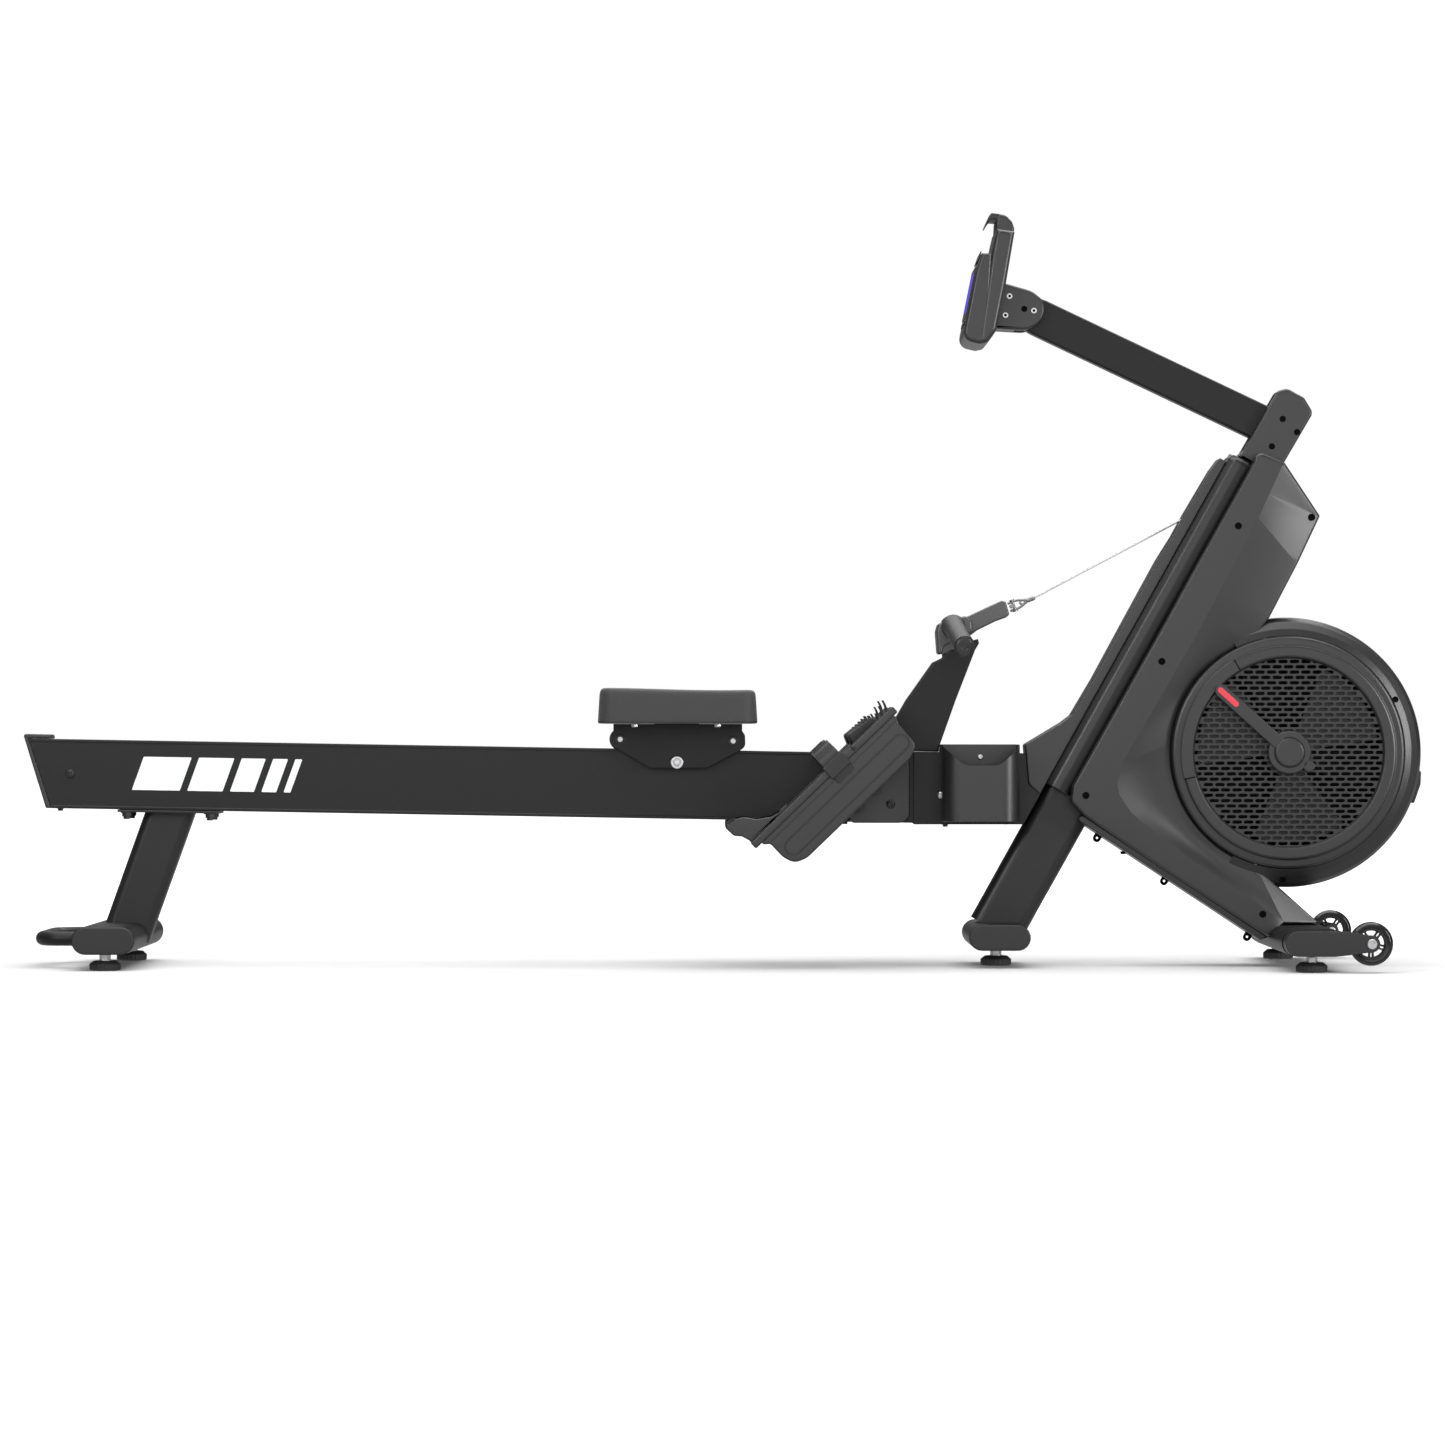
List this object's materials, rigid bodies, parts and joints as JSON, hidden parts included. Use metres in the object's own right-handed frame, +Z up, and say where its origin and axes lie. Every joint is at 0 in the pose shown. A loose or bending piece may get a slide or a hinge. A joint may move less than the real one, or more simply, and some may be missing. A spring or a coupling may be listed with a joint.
{
  "type": "rowing machine",
  "caption": "Air rowing machine with a sliding padded seat on a box rail, cable handle, strapped footrests, caged fan and a tilting console.",
  "frame": {"origin": "bottom centre of the bounding box, on the floor", "axes": "+X along the rail from the seat end toward the fan, +Y across the machine, +Z up"},
  "size_m": [2.4537, 0.596, 1.32],
  "materials": {
    "painted_tube": "satin charcoal powder coat",
    "rail_skin": "satin black anodised",
    "cover_plastic": "fine matte texture",
    "black_plastic": "matte",
    "scale_plate": "satin",
    "zinc": "bright zinc",
    "wire": "twisted wire",
    "rubber": "matte",
    "tyre": "gloss urethane",
    "seat_cover": "soft matte skin over foam",
    "strap_web": "satin",
    "screen": "gloss display window"
  },
  "bodies": {
    "frame": {"rail": "rail_skin", "rail_end_cap": "cover_plastic", "rear_leg": "painted_tube", "rear_stabilizer": "painted_tube", "mast": "painted_tube", "mid_crossbar": "painted_tube", "front_stabilizer": "painted_tube", "lower_beam": "painted_tube", "front_cap_near": "cover_plastic", "front_cap_far": "cover_plastic", "rail_socket": "rail_skin", "face_panel": "cover_plastic", "side_cover_near": "cover_plastic", "side_cover_far": "cover_plastic", "fan_housing_near": "cover_plastic", "fan_housing_far": "cover_plastic", "grille_near": "black_plastic", "grille_far": "black_plastic", "damper_scale": "scale_plate", "drive_belt": "rubber", "cable_run": "wire", "hook_post": "painted_tube", "bottle_tray_near": "cover_plastic", "bottle_tray_far": "cover_plastic", "footrest_saddle": "painted_tube", "footrest_near": "cover_plastic", "footrest_far": "cover_plastic", "strap_near": "strap_web", "strap_far": "strap_web", "post_cover": "cover_plastic"},
    "seat": {"seat_pad": "seat_cover", "seat_carriage": "painted_tube"},
    "rollers_rear": {"seat_roller_rear_near": "black_plastic", "seat_roller_rear_far": "black_plastic"},
    "rollers_front": {"seat_roller_front_near": "black_plastic", "seat_roller_front_far": "black_plastic"},
    "cable_end": {"pull_cable": "wire", "cable_shackle": "zinc"},
    "handle": {"handle_yoke": "cover_plastic", "grip_near": "rubber", "grip_far": "rubber"},
    "pulley": {"guide_pulley": "black_plastic"},
    "drum": {"cable_drum": "zinc"},
    "fan": {"fan_wheel": "black_plastic"},
    "damper": {"damper_lever": "black_plastic"},
    "heel_near": {"heel_cup_near": "cover_plastic"},
    "heel_far": {"heel_cup_far": "cover_plastic"},
    "arm": {"console_arm": "painted_tube"},
    "console": {"console_housing": "cover_plastic", "console_screen": "screen"},
    "clip": {"phone_clip": "cover_plastic"},
    "wheel_near": {"transport_wheel_near": "tyre"},
    "wheel_far": {"transport_wheel_far": "tyre"},
    "foot_rear_near": {"leveler_rear_near": "rubber"},
    "foot_rear_far": {"leveler_rear_far": "rubber"},
    "foot_middle": {"leveler_middle": "rubber"},
    "foot_front_near": {"leveler_front_near": "rubber"},
    "foot_front_far": {"leveler_front_far": "rubber"}
  },
  "joints": [
    {"name": "seat_slide", "type": "slide", "parent": "frame", "child": "seat", "axis": [0.9999, 0, -0.0171], "range_m": [-0.95, 0.15]},
    {"name": "roller_rear_spin", "type": "hinge", "parent": "seat", "child": "rollers_rear", "pos_m": [-0.179, 0, 0.3976], "axis": [0, 1, 0], "continuous": true},
    {"name": "roller_front_spin", "type": "hinge", "parent": "seat", "child": "rollers_front", "pos_m": [0.0186, 0, 0.3945], "axis": [0, 1, 0], "continuous": true},
    {"name": "cable_pull", "type": "slide", "parent": "frame", "child": "cable_end", "axis": [-1, 0, 0], "range_m": [0, 1.1], "stiffness_N_per_m": 20, "springref_m": -0.5},
    {"name": "handle_swing", "type": "hinge", "parent": "cable_end", "child": "handle", "pos_m": [0.5087, 0, 0.6313], "axis": [0, 1, 0], "range_deg": [0, 60]},
    {"name": "guide_pulley_spin", "type": "hinge", "parent": "frame", "child": "pulley", "pos_m": [0.8502, 0, 0.7719], "axis": [0, 1, 0], "continuous": true},
    {"name": "cable_drum_spin", "type": "hinge", "parent": "frame", "child": "drum", "pos_m": [0.742, 0, 0.318], "axis": [0, 1, 0], "continuous": true},
    {"name": "fan_spin", "type": "hinge", "parent": "frame", "child": "fan", "pos_m": [0.988, 0, 0.3745], "axis": [0, 1, 0], "continuous": true},
    {"name": "damper_turn", "type": "hinge", "parent": "frame", "child": "damper", "pos_m": [0.988, 0, 0.3745], "axis": [0, -1, 0], "range_deg": [-10, 50]},
    {"name": "heel_cup_near_slide", "type": "slide", "parent": "frame", "child": "heel_near", "axis": [0.7193, 0, 0.6947], "range_m": [0, 0.06]},
    {"name": "heel_cup_far_slide", "type": "slide", "parent": "frame", "child": "heel_far", "axis": [0.7193, 0, 0.6947], "range_m": [0, 0.06]},
    {"name": "arm_tilt", "type": "hinge", "parent": "frame", "child": "arm", "pos_m": [0.966, 0, 0.9442], "axis": [0, 1, 0], "range_deg": [-25, 15]},
    {"name": "console_tilt", "type": "hinge", "parent": "arm", "child": "console", "pos_m": [0.529, 0, 1.152], "axis": [0, 1, 0], "range_deg": [-20, 20]},
    {"name": "phone_clip_slide", "type": "slide", "parent": "console", "child": "clip", "axis": [0.168, 0, 0.9858], "range_m": [0, 0.03], "stiffness_N_per_m": 250, "springref_m": -0.02},
    {"name": "transport_wheel_near_spin", "type": "hinge", "parent": "frame", "child": "wheel_near", "pos_m": [1.1044, -0.277, 0.0496], "axis": [0, 1, 0], "continuous": true},
    {"name": "transport_wheel_far_spin", "type": "hinge", "parent": "frame", "child": "wheel_far", "pos_m": [1.1044, 0.277, 0.0496], "axis": [0, 1, 0], "continuous": true},
    {"name": "leveler_rear_near_screw", "type": "slide", "parent": "frame", "child": "foot_rear_near", "axis": [0, 0, -1], "range_m": [0, 0.008]},
    {"name": "leveler_rear_far_screw", "type": "slide", "parent": "frame", "child": "foot_rear_far", "axis": [0, 0, -1], "range_m": [0, 0.008]},
    {"name": "leveler_middle_screw", "type": "slide", "parent": "frame", "child": "foot_middle", "axis": [0, 0, -1], "range_m": [0, 0.008]},
    {"name": "leveler_front_near_screw", "type": "slide", "parent": "frame", "child": "foot_front_near", "axis": [0, 0, -1], "range_m": [0, 0.008]},
    {"name": "leveler_front_far_screw", "type": "slide", "parent": "frame", "child": "foot_front_far", "axis": [0, 0, -1], "range_m": [0, 0.008]}
  ],
  "couplings": [
    {"joint": "roller_rear_spin", "follows": "seat_slide", "rad_per_m": 51.02},
    {"joint": "roller_front_spin", "follows": "seat_slide", "rad_per_m": 51.02},
    {"joint": "guide_pulley_spin", "follows": "cable_pull", "rad_per_m": -32.89},
    {"joint": "cable_drum_spin", "follows": "cable_pull", "rad_per_m": -22.32}
  ]
}
